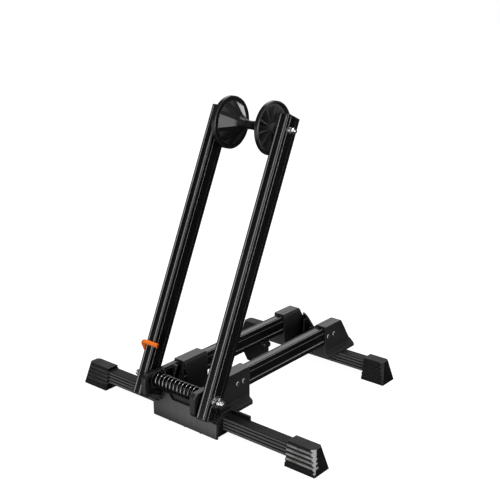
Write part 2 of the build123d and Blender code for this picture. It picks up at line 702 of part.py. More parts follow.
# ---- Cones ------------------------------------------------------------------
for name, side in SIDES:
    face_in = POLE_X - EXT_W / 2
    face_out = POLE_X + EXT_W / 2
    hub_back = CONE_FACE + CONE_HUB
    turn = side * CONE_TURN
    with BuildPart() as cavity:
        with BuildSketch(out_plane(side, CONE_NECK + CONE_SHELL, CONE_Y, CONE_Z)):
            RegularPolygon(10.5, CONE_SIDES, rotation=turn)
        with BuildSketch(out_plane(side, CONE_FACE + FLANGE_T, CONE_Y, CONE_Z)):
            RegularPolygon(CONE_R, CONE_SIDES, rotation=turn)
        loft()
        with BuildSketch(out_plane(side, CONE_FACE + FLANGE_T, CONE_Y, CONE_Z)):
            Circle(FLANGE_R - RIM_WALL)
        extrude(amount=RIM_DEPTH)
        # the ribs behind the facets and the hub are left standing
        with BuildSketch(out_plane(side, CONE_NECK, CONE_Y, CONE_Z)):
            Circle(CONE_HUB_R)
            with PolarLocations(CONE_R / 2, CONE_RIBS, start_angle=turn):
                Rectangle(CONE_R, CONE_RIB_T)
        extrude(amount=CONE_FACE + FLANGE_T - CONE_NECK, mode=Mode.SUBTRACT)

    with BuildPart() as cone:
        # round nose that flares into the facets
        with BuildSketch(Plane(origin=(0, CONE_Y, CONE_Z), x_dir=(side, 0, 0), z_dir=(0, -side, 0))):
            with BuildLine():
                Line((CONE_TIP, 0), (CONE_TIP, NOSE_R))
                Spline(
                    (CONE_TIP, NOSE_R),
                    (9.0, NOSE_R + 1.2),
                    (CONE_NECK, NECK_R),
                    tangents=((1, 0), (1, 0.75)),
                )
                Line((CONE_NECK, NECK_R), (CONE_NECK + 3, NECK_R))
                Line((CONE_NECK + 3, NECK_R), (CONE_NECK + 3, 0))
                Line((CONE_NECK + 3, 0), (CONE_TIP, 0))
            make_face()
        revolve(axis=Axis((0, CONE_Y, CONE_Z), (1, 0, 0)))
        with BuildSketch(out_plane(side, CONE_NECK, CONE_Y, CONE_Z)):
            RegularPolygon(FACETS_IN_R, CONE_SIDES, rotation=turn)
        with BuildSketch(out_plane(side, CONE_FACE, CONE_Y, CONE_Z)):
            RegularPolygon(CONE_R, CONE_SIDES, rotation=turn)
        loft()
        with BuildSketch(out_plane(side, CONE_FACE, CONE_Y, CONE_Z)):
            Circle(FLANGE_R)
        extrude(amount=RIM_DEPTH)
        rim_edges = cone.edges().filter_by(GeomType.CIRCLE).group_by(SortBy.RADIUS)[-1]
        chamfer(rim_edges, 0.8)
        add(cavity.part, mode=Mode.SUBTRACT)
        with BuildSketch(out_plane(side, CONE_NECK, CONE_Y, CONE_Z)):
            Circle(CONE_HUB_R)
        extrude(amount=hub_back - CONE_NECK)
        with BuildSketch(out_plane(side, CONE_TIP, CONE_Y, CONE_Z)):
            Circle(CONE_BOLT_R + RUN)
        extrude(amount=hub_back, mode=Mode.SUBTRACT)
        with BuildSketch(out_plane(side, CONE_TIP, CONE_Y, CONE_Z)):
            Circle(NOSE_RECESS_R)
        extrude(amount=8, mode=Mode.SUBTRACT)
    cone.part.label = f"{name}_cone"
    export_step(cone.part, f"parts/{name}_cone.step")

    with BuildPart() as cone_bolt:
        with BuildSketch(out_plane(side, CONE_BOLT_IN, CONE_Y, CONE_Z)):
            Circle(NOSE_RECESS_R - 0.3)
        extrude(amount=6)
        with BuildSketch(out_plane(side, CONE_BOLT_IN, CONE_Y, CONE_Z)):
            Circle(CONE_BOLT_R)
        extrude(amount=face_out + CONE_BOLT_TAIL - CONE_BOLT_IN)
        with BuildSketch(out_plane(side, CONE_BOLT_IN, CONE_Y, CONE_Z)):
            RegularPolygon(2.6, 6)
        extrude(amount=3.5, mode=Mode.SUBTRACT)
    cone_bolt.part.label = f"{name}_cone_bolt"
    export_step(cone_bolt.part, f"parts/{name}_cone_bolt.step")

    spacer_start = hub_back + 0.2
    spacer_t = face_in - spacer_start
    spacer = make_washer(side, spacer_start, CONE_Y, CONE_Z, CONE_HUB_R, CONE_BOLT_R, spacer_t)
    spacer.part.label = f"{name}_cone_spacer"
    export_step(spacer.part, f"parts/{name}_cone_spacer.step")

    channel = face_out - CHANNEL_DEPTH
    cone_washer = make_washer(
        side, channel, CONE_Y, CONE_Z, CONE_WASHER_R, CONE_BOLT_R, CONE_WASHER_T
    )
    cone_washer.part.label = f"{name}_cone_washer"
    export_step(cone_washer.part, f"parts/{name}_cone_washer.step")

    cone_nut = make_nut(
        side, channel + CONE_WASHER_T, CONE_Y, CONE_Z, CONE_NUT_ACROSS, CONE_BOLT_R, CONE_NUT_T
    )
    cone_nut.part.label = f"{name}_cone_nut"
    export_step(cone_nut.part, f"parts/{name}_cone_nut.step")


# ---- Extension spring between the two pivots --------------------------------
with BuildPart() as spring:
    with BuildLine() as coil:
        Helix(
            pitch=SPRING_LEN / SPRING_TURNS,
            height=SPRING_LEN,
            radius=SPRING_R,
            center=(-SPRING_LEN / 2, PIVOT_Y, PIVOT_Z),
            direction=(1, 0, 0),
        )
    with BuildSketch(Plane(origin=coil.line @ 0, z_dir=coil.line % 0)):
        Circle(WIRE_R)
    sweep(path=coil.line, is_frenet=True)
spring.part.label = "tension_spring"
export_step(spring.part, "parts/tension_spring.step")


# ---- Safety hook on the outside of the left pole ----------------------------
ahead = EXT_D / 2 + HOOK_SLEEVE_R + 1.0
pin_point = pole_plane(-HOOK_X, HOOK_PIN_UP).origin
bend_point = pole_plane(-HOOK_X, HOOK_BEND_UP, ahead).origin
tip_point = pole_plane(-HOOK_END_X, HOOK_BEND_UP, ahead).origin
shank = (bend_point - pin_point).normalized()

with BuildPart() as hook_wire:
    with BuildSketch(out_plane(-1, HOOK_X - HOOK_EYE_T / 2, pin_point.Y, pin_point.Z)):
        Circle(6.2)
        Circle(3.0, mode=Mode.SUBTRACT)
    extrude(amount=HOOK_EYE_T)
    with BuildLine() as wire_path:
        FilletPolyline(pin_point + shank * 4.6, bend_point, tip_point, radius=6)
    with BuildSketch(Plane(origin=pin_point + shank * 4.6, z_dir=shank)):
        Circle(HOOK_WIRE_R)
    sweep(path=wire_path.wires()[0])
hook_wire.part.label = "hook_wire"
export_step(hook_wire.part, "parts/hook_wire.step")

with BuildPart() as hook_sleeve:
    with BuildLine() as sleeve_path:
        FilletPolyline(
            pin_point + shank * 9, bend_point, tip_point - Vector(1.2, 0, 0), radius=6
        )
    with BuildSketch(Plane(origin=pin_point + shank * 9, z_dir=shank)):
        Circle(HOOK_SLEEVE_R)
        Circle(HOOK_WIRE_R, mode=Mode.SUBTRACT)
    sweep(path=sleeve_path.wires()[0])
hook_sleeve.part.label = "hook_sleeve"
export_step(hook_sleeve.part, "parts/hook_sleeve.step")

with BuildPart() as hook_pin:
    channel = POLE_X + EXT_W / 2 - CHANNEL_DEPTH
    with BuildSketch(out_plane(-1, channel - EXT_WALL, pin_point.Y, pin_point.Z)):
        Circle(2.0)
    extrude(amount=EXT_WALL)
    with BuildSketch(out_plane(-1, channel, pin_point.Y, pin_point.Z)):
        Circle(5.0)
    extrude(amount=HOOK_X - HOOK_EYE_T / 2 - RUN - channel)
    with BuildSketch(out_plane(-1, channel, pin_point.Y, pin_point.Z)):
        Circle(3.0 - RUN)
    extrude(amount=HOOK_X + HOOK_EYE_T / 2 + RUN - channel)
    with BuildSketch(out_plane(-1, HOOK_X + HOOK_EYE_T / 2 + RUN, pin_point.Y, pin_point.Z)):
        Circle(4.6)
    extrude(amount=2.4)
hook_pin.part.label = "hook_pin"
export_step(hook_pin.part, "parts/hook_pin.step")


# ---- Small bracket bolted under the left rail -------------------------------
rail_low = RAIL_Z - EXT_D / 2
with BuildPart() as bracket:
    with BuildSketch(Plane.YZ.offset(-RAIL_X - EXT_W / 2)) as bracket_outline:
        with BuildLine():
            Polyline(
                (BRACKET_FRONT, rail_low),
                (BRACKET_BACK, rail_low),
                (BRACKET_BACK, 28),
                (BRACKET_BACK - 6, BRACKET_LOW + 1),
                (BRACKET_FRONT + 15, BRACKET_LOW),
                close=True,
            )
        make_face()
        fillet(bracket_outline.vertices().group_by(Axis.Y)[0], 4)
    extrude(amount=EXT_W)
    with BuildSketch(out_plane(-1, RAIL_X, BRACKET_BACK - 12, BRACKET_SCREW_Z)):
        Circle(1.8)
    extrude(amount=EXT_W, both=True, mode=Mode.SUBTRACT)
    with BuildSketch(Plane.XZ.offset(-BRACKET_BACK)):
        with Locations((-RAIL_X, KNOB_Z)):
            Circle(2.5)
    extrude(amount=14, mode=Mode.SUBTRACT)
bracket.part.label = "rail_bracket"
export_step(bracket.part, "parts/rail_bracket.step")

with BuildPart() as bracket_screw:
    inner_face = -RAIL_X + EXT_W / 2
    with BuildSketch(Plane(origin=(inner_face, BRACKET_BACK - 12, BRACKET_SCREW_Z), z_dir=(1, 0, 0))):
        Circle(2.6)
    extrude(amount=1.6)
    with BuildSketch(Plane(origin=(inner_face, BRACKET_BACK - 12, BRACKET_SCREW_Z), z_dir=(-1, 0, 0))):
        Circle(1.8)
    extrude(amount=EXT_W)
bracket_screw.part.label = "bracket_screw"
export_step(bracket_screw.part, "parts/bracket_screw.step")

with BuildPart() as knob:
    with BuildSketch(Plane(origin=(-RAIL_X, BRACKET_BACK, KNOB_Z), z_dir=(0, 1, 0))):
        RegularPolygon(KNOB_R, 8)
    extrude(amount=10)
    fillet(knob.faces().sort_by(Axis.Y)[-1].edges(), 1.5)
    with BuildSketch(Plane(origin=(-RAIL_X, BRACKET_BACK, KNOB_Z), z_dir=(0, -1, 0))):
        Circle(2.5)
    extrude(amount=13)
knob.part.label = "bracket_knob"
export_step(knob.part, "parts/bracket_knob.step")
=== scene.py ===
"""Looks of the bike repair stand: materials, detailed pieces, lights and camera.

Everything is in metres in the CAD model's frame: +X along the crossbars, +Y to the
back, +Z up. "left" is -X and "right" is +X. Sizes that the CAD model holds are read
from its nodes' boxes, and the rest are named here in millimetres times MM.
"""
import json
import math

import bmesh
import bpy
from mathutils import Matrix, Vector


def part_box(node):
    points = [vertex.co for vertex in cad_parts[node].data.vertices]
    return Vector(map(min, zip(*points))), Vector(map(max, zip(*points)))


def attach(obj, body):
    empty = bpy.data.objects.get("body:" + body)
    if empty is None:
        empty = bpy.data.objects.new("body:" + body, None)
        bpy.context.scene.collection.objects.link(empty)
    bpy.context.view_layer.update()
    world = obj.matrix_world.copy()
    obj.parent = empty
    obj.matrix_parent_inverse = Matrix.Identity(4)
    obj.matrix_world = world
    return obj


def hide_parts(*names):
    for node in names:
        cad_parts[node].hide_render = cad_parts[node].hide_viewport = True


MM = 0.001
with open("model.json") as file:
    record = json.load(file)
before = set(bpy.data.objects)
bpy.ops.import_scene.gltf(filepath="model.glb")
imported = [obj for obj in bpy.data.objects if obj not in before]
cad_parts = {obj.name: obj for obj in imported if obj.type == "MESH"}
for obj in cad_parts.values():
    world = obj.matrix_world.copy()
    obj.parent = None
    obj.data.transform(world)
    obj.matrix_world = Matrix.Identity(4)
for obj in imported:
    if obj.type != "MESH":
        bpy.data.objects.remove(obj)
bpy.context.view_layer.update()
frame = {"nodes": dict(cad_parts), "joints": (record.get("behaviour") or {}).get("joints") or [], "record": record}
nodes = frame["nodes"]
SIDES = (("left", -1), ("right", 1))

# ---- Places taken from the CAD nodes -----------------------------------------


def middle(node):
    """Centre of a CAD node's box."""
    low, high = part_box(node)
    return (low + high) / 2


def joint(name):
    """A joint's row of the frame."""
    return next(row for row in frame["joints"] if row["name"] == name)


def reach_out(node):
    """Nearest and furthest distance of a CAD node's box from the middle plane."""
    low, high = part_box(node)
    return sorted((abs(low.x), abs(high.x)))


PIVOT = Vector(joint("left_pole_fold")["pos_m"])
HUB = Vector(joint("left_cone_spin")["pos_m"])
UP_POLE = (Vector((0, HUB.y, HUB.z)) - Vector((0, PIVOT.y, PIVOT.z))).normalized()
LEAN = math.atan2(UP_POLE.y, UP_POLE.z)
POLE_X = middle("right_pole").x
RAIL_X, RAIL_Z = middle("right_rail").x, middle("right_rail").z
BAR_Z = middle("front_bar").z
FRONT_BAR_Y = middle("front_bar").y
SCREW_HEAD_R = 3.2 * MM
PIVOT_BOLT_R, PIVOT_PITCH = 4.0 * MM, 1.25 * MM
CONE_BOLT_R, CONE_PITCH = 3.0 * MM, 1.0 * MM

# Places that the CAD nodes' boxes don't show, in millimetres:
# the front moulding's low wall, by its front face, half its length and its top
WALL_Y, WALL_HALF, WALL_TOP = -156, 62, 44
# how far out a cone's facets run for each unit of radius
CONE_SLOPE = 0.881
# heights of the upper edges of a foot's ribs, where highlights are painted
RIB_LIPS = (4.9, 10.9, 16.9, 22.9, 28.9)
# heights of the lands between a crossbar's grooves, from its middle, where highlight lines are painted
BAR_LANDS = (-7.7, -2.7, 2.3, 7.3)
# grooves across an extrusion's narrow face, where highlight lines are painted, and the edge of the channel in its
# wide face
GROOVE_X = (-4.9, 4.9)
CHANNEL_WALL = 6.95
# painted highlight lines on the wide faces: place, half width and strength; the place is measured
# towards the back on a pole and upwards on a rail
POLE_LIP_HIGHLIGHTS = ((-7.0, 1.0, 1.0),)
RAIL_LIP_HIGHLIGHTS = ((6.8, 1.0, 0.35), (-6.6, 0.9, 0.35))
# colour of the painted highlight lines
LIP_HIGHLIGHT_COLOR = (0.55, 0.55, 0.55)


def screw_places(node):
    """Y of the two screws on each side, from the node's box."""
    low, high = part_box(node)
    return low.y + SCREW_HEAD_R, high.y - SCREW_HEAD_R


# ---- Material building --------------------------------------------------------


def new_material(name, color, roughness, metallic=0.0):
    """A Principled material with its node tree, ready for detail nodes."""
    material = bpy.data.materials.new(name)
    material.use_nodes = True
    tree = material.node_tree
    shader = tree.nodes["Principled BSDF"]
    shader.inputs["Base Color"].default_value = (*color, 1)
    shader.inputs["Roughness"].default_value = roughness
    shader.inputs["Metallic"].default_value = metallic
    return material, tree, shader


def place_in_row(tree, scale=(1, 1, 1), rotation=(0, 0, 0)):
    """Object coordinates, which are the row frame in metres, turned and stretched."""
    coords = tree.nodes.new("ShaderNodeTexCoord")
    mapping = tree.nodes.new("ShaderNodeMapping")
    mapping.inputs["Rotation"].default_value = rotation
    mapping.inputs["Scale"].default_value = scale
    tree.links.new(coords.outputs["Object"], mapping.inputs["Vector"])
    return mapping.outputs["Vector"]


def noise(tree, vector, scale, detail=3.0, roughness=0.5):
    """Cloudy noise, about 0.5 in the middle of its range."""
    node = tree.nodes.new("ShaderNodeTexNoise")
    node.inputs["Scale"].default_value = scale
    node.inputs["Detail"].default_value = detail
    node.inputs["Roughness"].default_value = roughness
    tree.links.new(vector, node.inputs["Vector"])
    return node.outputs["Fac"]


def remap(tree, value, low, high, to_low, to_high):
    """Value between low and high, clamped, sent to between to_low and to_high."""
    node = tree.nodes.new("ShaderNodeMapRange")
    for key, number in zip(("From Min", "From Max", "To Min", "To Max"), (low, high, to_low, to_high)):
        node.inputs[key].default_value = number
    tree.links.new(value, node.inputs["Value"])
    return node.outputs["Result"]


def math_node(tree, operation, first, second=0):
    """One sum on two values, each a number or another node's output."""
    node = tree.nodes.new("ShaderNodeMath")
    node.operation = operation
    for socket, value in zip(node.inputs, (first, second)):
        if isinstance(value, (int, float)):
            socket.default_value = value
        else:
            tree.links.new(value, socket)
    return node.outputs["Value"]


def product(tree, *values):
    """All the values multiplied together."""
    total = values[0]
    for value in values[1:]:
        total = math_node(tree, "MULTIPLY", total, value)
    return total


def vector_node(tree, operation, vector, constant=(0, 0, 0)):
    """The node of one sum on a vector output and a constant vector."""
    node = tree.nodes.new("ShaderNodeVectorMath")
    node.operation = operation
    node.inputs[1].default_value = constant
    tree.links.new(vector, node.inputs[0])
    return node


def coordinates(tree, vector):
    """The X, Y and Z outputs of a vector."""
    split = tree.nodes.new("ShaderNodeSeparateXYZ")
    tree.links.new(vector, split.inputs[0])
    return split.outputs["X"], split.outputs["Y"], split.outputs["Z"]


def distance_from_line(tree, row, y, z):
    """Distance from the line along X through this Y and Z."""
    offset = vector_node(tree, "SUBTRACT", row, (0, y, z)).outputs["Vector"]
    flat = vector_node(tree, "MULTIPLY", offset, (0, 1, 1)).outputs["Vector"]
    return vector_node(tree, "LENGTH", flat).outputs["Value"]


def mix_color(tree, factor, first, second):
    """First where the factor is 0 and second where it is 1, each a colour or an output."""
    node = tree.nodes.new("ShaderNodeMix")
    node.data_type = "RGBA"
    tree.links.new(factor, node.inputs["Factor"])
    for key, value in (("A", first), ("B", second)):
        socket = [s for s in node.inputs if s.name == key and s.type == "RGBA"][0]
        if isinstance(value, tuple):
            socket.default_value = (*value, 1)
        else:
            tree.links.new(value, socket)
    return [s for s in node.outputs if s.type == "RGBA"][0]


def bump(tree, shader, height, strength, distance):
    """Relief on the shader's surface from a height output."""
    node = tree.nodes.new("ShaderNodeBump")
    node.inputs["Strength"].default_value = strength
    node.inputs["Distance"].default_value = distance
    tree.links.new(height, node.inputs["Height"])
    tree.links.new(node.outputs["Normal"], shader.inputs["Normal"])


def band(tree, value, center, half):
    """1 within a narrow band of a coordinate, falling to 0 at its edges."""
    away = math_node(tree, "ABSOLUTE", math_node(tree, "SUBTRACT", value, center))
    return remap(tree, away, half * 0.45, half, 1.0, 0.0)


def any_of(tree, values):
    """The largest of several masks."""
    total = values[0]
    for value in values[1:]:
        total = math_node(tree, "MAXIMUM", total, value)
    return total


def edge_wear_and_highlight(tree, radius, low=0.02, high=0.25):
    """1 on outer corners and 0 on flat ground, from how far a bevelled normal turns; it marks edge wear and
    painted edge highlights.
    """
    geometry = tree.nodes.new("ShaderNodeNewGeometry")
    bevel = tree.nodes.new("ShaderNodeBevel")
    bevel.samples = 4
    bevel.inputs["Radius"].default_value = radius
    dot = tree.nodes.new("ShaderNodeVectorMath")
    dot.operation = "DOT_PRODUCT"
    tree.links.new(geometry.outputs["Normal"], dot.inputs[0])
    tree.links.new(bevel.outputs["Normal"], dot.inputs[1])
    turned = math_node(tree, "SUBTRACT", 1.0, dot.outputs["Value"])
    return remap(tree, turned, low, high, 0.0, 1.0)


def paint_corner_shade(tree, shader, color, reach, least, gloss=0.5):
    """Painted shade: the colour and its gloss, both lower by ambient occlusion in the corners and pockets."""
    hollow = tree.nodes.new("ShaderNodeAmbientOcclusion")
    hollow.samples = 6
    hollow.inputs["Distance"].default_value = reach
    kept = remap(tree, hollow.outputs["AO"], 0.3, 1.0, least, 1.0)
    corner_shaded = mix_color(tree, kept, (0.0005, 0.0005, 0.0005), color)
    tree.links.new(corner_shaded, shader.inputs["Base Color"])
    tree.links.new(product(tree, kept, gloss), shader.inputs["Specular IOR Level"])
    return corner_shaded


def front_wall_light_mask(tree):
    """Painted light: 1 on the front wall, which is painted lighter as if lit, less towards its left end, with the
    drawn marks of its tool.
    """
    x, y, z = coordinates(tree, place_in_row(tree))
    in_front = remap(tree, y, WALL_Y * MM, (WALL_Y + 0.6) * MM, 1.0, 0.0)
    low = remap(tree, z, (WALL_TOP - 1) * MM, (WALL_TOP + 2) * MM, 1.0, 0.0)
    paler = remap(tree, x, (2 - WALL_HALF) * MM, WALL_HALF * MM, 0.3, 1.0)
    upright = noise(tree, place_in_row(tree, (900, 900, 22)), 1.0, 3.0)
    return product(tree, in_front, low, paler, remap(tree, upright, 0.3, 0.7, 0.6, 1.0))


def cone_masks(tree):
    """1 on the back of a cone, behind its facets, where it is made lighter, and the distance from its axis."""
    radius = distance_from_line(tree, place_in_row(tree), HUB.y, HUB.z)
    out = math_node(tree, "ABSOLUTE", coordinates(tree, place_in_row(tree))[0])
    behind = math_node(tree, "SUBTRACT", out, product(tree, radius, CONE_SLOPE))
    shell = remap(tree, behind, 7.2 * MM, 8.0 * MM, 0.0, 1.0)
    inside_rim = math_node(tree, "LESS_THAN", radius, 36.6 * MM)
    return product(tree, shell, inside_rim), radius


def moulded(
    name,
    color,
    roughness,
    grain=0.35 * MM,
    relief=0.05 * MM,
    least=0.25,
    edge_reach=0.8 * MM,
    edge_range=(0.02, 0.25),
    edge_wear_highlight_color=None,
    wall=False,
    back=False,
):
    """Moulded plastic: spark-eroded grain, cloudy gloss, painted shade in corners, and edges paler from wear and
    painted highlight.

    least is how much colour the deepest corners keep under the painted shade. wall adds
    the front wall painted lighter as if lit, and back makes the back of a cone lighter.
    """
    material, tree, shader = new_material(name, color, roughness)
    row = place_in_row(tree)
    cloud = noise(tree, row, 18.0, 4.0)
    fine = noise(tree, row, 1 / grain, 2.0, 0.6)
    edge = edge_wear_and_highlight(tree, edge_reach, *edge_range)
    patchy = product(tree, edge, remap(tree, noise(tree, row, 90.0), 0.35, 0.7, 0.2, 1.0))
    pale = tuple(min(1.0, c * 1.5 + 0.012) for c in color)
    shade = mix_color(tree, remap(tree, cloud, 0.3, 0.7, 0.0, 0.35), color, pale)
    # The front wall is painted lighter, as if lit, brightest at its right end.
    if wall:
        shade = mix_color(tree, front_wall_light_mask(tree), shade, (0.17, 0.17, 0.171))
    edge_wear_highlight_color = edge_wear_highlight_color or tuple(c * 2.2 + 0.02 for c in color)
    shine = 0.5
    if back:
        behind, radius = cone_masks(tree)
        shade = mix_color(tree, behind, shade, (0.06, 0.06, 0.0605))
        shine = remap(tree, radius, 11 * MM, 15 * MM, 0.1, 0.5)
    # Painted shade: darker colour and gloss in corners and pockets.
    corner_shaded = paint_corner_shade(tree, shader, shade, 22 * MM, least, shine)
    # Edges paler, partly from wear and partly painted highlight.
    lightened = mix_color(tree, remap(tree, patchy, 0.0, 1.0, 0.0, 0.7), corner_shaded, edge_wear_highlight_color)
    tree.links.new(lightened, shader.inputs["Base Color"])
    gloss = math_node(
        tree,
        "SUBTRACT",
        remap(tree, math_node(tree, "ADD", cloud, fine), 0.6, 1.4, roughness - 0.08, roughness + 0.1),
        product(tree, patchy, 0.12),
    )
    tree.links.new(gloss, shader.inputs["Roughness"])
    bump(tree, shader, fine, 0.35, relief)
    return material


def section_lines(tree, along):
    """Masks of an extrusion's painted highlight lines on its grooves and lips, and of the channel wall that stays
    matt.
    """
    if along == "z_lean":
        x, y, z = coordinates(tree, place_in_row(tree, rotation=(LEAN, 0, 0)))
        deep = math_node(tree, "SUBTRACT", y, (Matrix.Rotation(LEAN, 3, "X") @ PIVOT).y)
        middle_x, lips, matt_wall = POLE_X, POLE_LIP_HIGHLIGHTS, CHANNEL_WALL
    else:
        x, y, z = coordinates(tree, place_in_row(tree))
        deep = math_node(tree, "SUBTRACT", z, RAIL_Z)
        middle_x, lips, matt_wall = RAIL_X, RAIL_LIP_HIGHLIGHTS, -CHANNEL_WALL
    across = math_node(tree, "SUBTRACT", math_node(tree, "ABSOLUTE", x), middle_x)
    on_end = math_node(tree, "GREATER_THAN", math_node(tree, "ABSOLUTE", deep), 12.4 * MM)
    on_side = math_node(tree, "GREATER_THAN", math_node(tree, "ABSOLUTE", across), 5.8 * MM)
    grooves = any_of(tree, [band(tree, across, place * MM, 0.75 * MM) for place in GROOVE_X])
    bands = [product(tree, band(tree, deep, place * MM, half * MM), level) for place, half, level in lips]
    bright = any_of(tree, bands)
    # Painted highlight lines on the narrow faces' grooves and the wide faces' lips.
    lightened = any_of(tree, [product(tree, grooves, on_end, 0.5), product(tree, bright, on_side)])
    matt = product(tree, band(tree, deep, matt_wall * MM, 1.2 * MM), on_side)
    return lightened, matt


def bar_land_highlights(tree):
    """Mask of the painted highlight lines on the lands between a crossbar's grooves."""
    x, y, z = coordinates(tree, place_in_row(tree))
    return any_of(tree, [band(tree, z, BAR_Z + place * MM, 1.9 * MM) for place in BAR_LANDS])


def drawn(name, color, roughness, along):
    """Black anodised extrusion: fine die lines along its length, edges paler from wear and painted highlight, and
    painted highlight lines.

    along is "x" for a crossbar, "y" for a rail and "z_lean" for a pole.
    """
    material, tree, shader = new_material(name, color, roughness)
    stretch = {"x": (4, 900, 900), "y": (900, 4, 900), "z_lean": (900, 900, 4)}[along]
    turn = (LEAN, 0, 0) if along == "z_lean" else (0, 0, 0)
    lines = noise(tree, place_in_row(tree, stretch, turn), 1.0, 4.0, 0.6)
    cloud = noise(tree, place_in_row(tree), 14.0, 4.0)
    patchy = product(tree, edge_wear_and_highlight(tree, 0.5 * MM), remap(tree, cloud, 0.3, 0.65, 0.3, 1.0))
    pale = tuple(c * 2.0 + 0.02 for c in color)
    shade = mix_color(tree, remap(tree, lines, 0.35, 0.75, 0.0, 0.35), color, pale)
    # Edges paler, partly from wear and partly painted highlight.
    lightened = mix_color(tree, patchy, shade, (0.2, 0.2, 0.2))
    if along == "x":
        shader.inputs["Specular IOR Level"].default_value = 0.14
        # Painted highlight lines on the crossbar's lands.
        lands = product(tree, bar_land_highlights(tree), remap(tree, lines, 0.25, 0.75, 0.4, 1.0))
        lightened = mix_color(tree, lands, lightened, (0.15, 0.15, 0.15))
    else:
        # Painted highlight lines along the grooves and lips.
        lips, matt = section_lines(tree, along)
        tree.links.new(remap(tree, matt, 0.0, 1.0, 0.5, 0.0), shader.inputs["Specular IOR Level"])
        streaky = product(tree, lips, remap(tree, lines, 0.25, 0.75, 0.45, 1.0))
        lightened = mix_color(tree, streaky, lightened, LIP_HIGHLIGHT_COLOR)
    tree.links.new(lightened, shader.inputs["Base Color"])
    spread = math_node(tree, "ADD", product(tree, lines, 0.7), product(tree, cloud, 0.3))
    gloss = remap(tree, spread, 0.3, 0.75, roughness - 0.07, roughness + 0.12)
    tree.links.new(gloss, shader.inputs["Roughness"])
    bump(tree, shader, lines, 0.25, 0.03 * MM)
    return material


def plated(name, color, roughness, shade_hollows=False, ring_highlights=False):
    """Plated metal with faint clouding and dulled crests.

    One switch paints shade into its hollows, and the other paints highlight rings on the screws' heads.
    """
    material, tree, shader = new_material(name, color, roughness, metallic=1.0)
    row = place_in_row(tree)
    cloud = noise(tree, row, 240.0, 4.0)
    fine = noise(tree, row, 2600.0, 2.0)
    dull = tuple(c * 0.72 for c in color)
    shade = mix_color(tree, remap(tree, cloud, 0.35, 0.7, 0.0, 0.6), color, dull)
    if shade_hollows:
        # Painted shade in the hollows.
        paint_corner_shade(tree, shader, shade, 24 * MM, 0.0)
    else:
        tree.links.new(shade, shader.inputs["Base Color"])
    # Painted highlight rings round the screws' heads.
    if ring_highlights:
        places = screw_places("front_socket_screws") + screw_places("rear_socket_screws")
        away = [distance_from_line(tree, row, y, RAIL_Z) for y in places]
        rings = any_of(tree, [band(tree, distance, 2.75 * MM, 0.75 * MM) for distance in away])
        tree.links.new(mix_color(tree, rings, shade, (0.45, 0.45, 0.45)), shader.inputs["Base Color"])
        tree.links.new(remap(tree, rings, 0.0, 1.0, 1.0, 0.0), shader.inputs["Metallic"])
    grain = math_node(tree, "ADD", cloud, fine)
    gloss = remap(tree, grain, 0.7, 1.3, roughness - 0.08, roughness + 0.16)
    tree.links.new(gloss, shader.inputs["Roughness"])
    bump(tree, shader, fine, 0.2, 0.02 * MM)
    return material


def rib_highlight_mask(tree, row):
    """1 on the upper edges of the front feet's ribs, where a highlight is painted, strongest at the right foot."""
    x, y, z = coordinates(tree, row)
    lips = any_of(tree, [band(tree, z, lip * MM, 1.5 * MM) for lip in RIB_LIPS])
    in_front = math_node(tree, "LESS_THAN", y, FRONT_BAR_Y - 6 * MM)
    above_base = math_node(tree, "GREATER_THAN", z, 7 * MM)
    streaks = noise(tree, place_in_row(tree, (60, 300, 300)), 1.0, 4.0)
    return product(
        tree,
        lips,
        in_front,
        remap(tree, x, -0.2, 0.19, 0.08, 1.0),
        above_base,
        remap(tree, streaks, 0.3, 0.65, 0.35, 1.0),
    )


def corner_highlight_mask(tree, row):
    """1 on the bevel of the right front foot's outer corner, where a highlight is painted."""
    x, y, z = coordinates(tree, row)
    slant = vector_node(tree, "DOT_PRODUCT", row, (-1, 1, -0.463)).outputs["Value"]
    above_base = math_node(tree, "GREATER_THAN", z, 4 * MM)
    return product(tree, band(tree, slant, -369 * MM, 1.4 * MM), above_base)


def rubber(name, color):
    """Moulded rubber: soft bloom on top of a matt grain, edges paler from wear and painted highlight, and painted
    highlights on rib lips and a corner bevel.
    """
    material, tree, shader = new_material(name, color, 0.5)
    shader.inputs["Specular IOR Level"].default_value = 0.16
    row = place_in_row(tree)
    cloud = noise(tree, row, 30.0, 5.0)
    fine = noise(tree, row, 2200.0, 2.0, 0.7)
    pale = tuple(c * 1.6 + 0.003 for c in color)
    shade = mix_color(tree, remap(tree, cloud, 0.35, 0.75, 0.0, 0.7), color, pale)
    # Edges paler, partly from wear and partly painted highlight.
    edge = product(tree, edge_wear_and_highlight(tree, 1.2 * MM, 0.01, 0.12), 0.5)
    edged = mix_color(tree, edge, shade, (0.1, 0.1, 0.098))
    # Painted highlights on the rib lips and the corner bevel.
    lined = mix_color(tree, rib_highlight_mask(tree, row), edged, (0.42, 0.42, 0.415))
    bevelled = mix_color(tree, corner_highlight_mask(tree, row), lined, (0.3, 0.3, 0.297))
    tree.links.new(bevelled, shader.inputs["Base Color"])
    tree.links.new(remap(tree, cloud, 0.3, 0.7, 0.36, 0.55), shader.inputs["Roughness"])
    bump(tree, shader, fine, 0.4, 0.05 * MM)
    return material


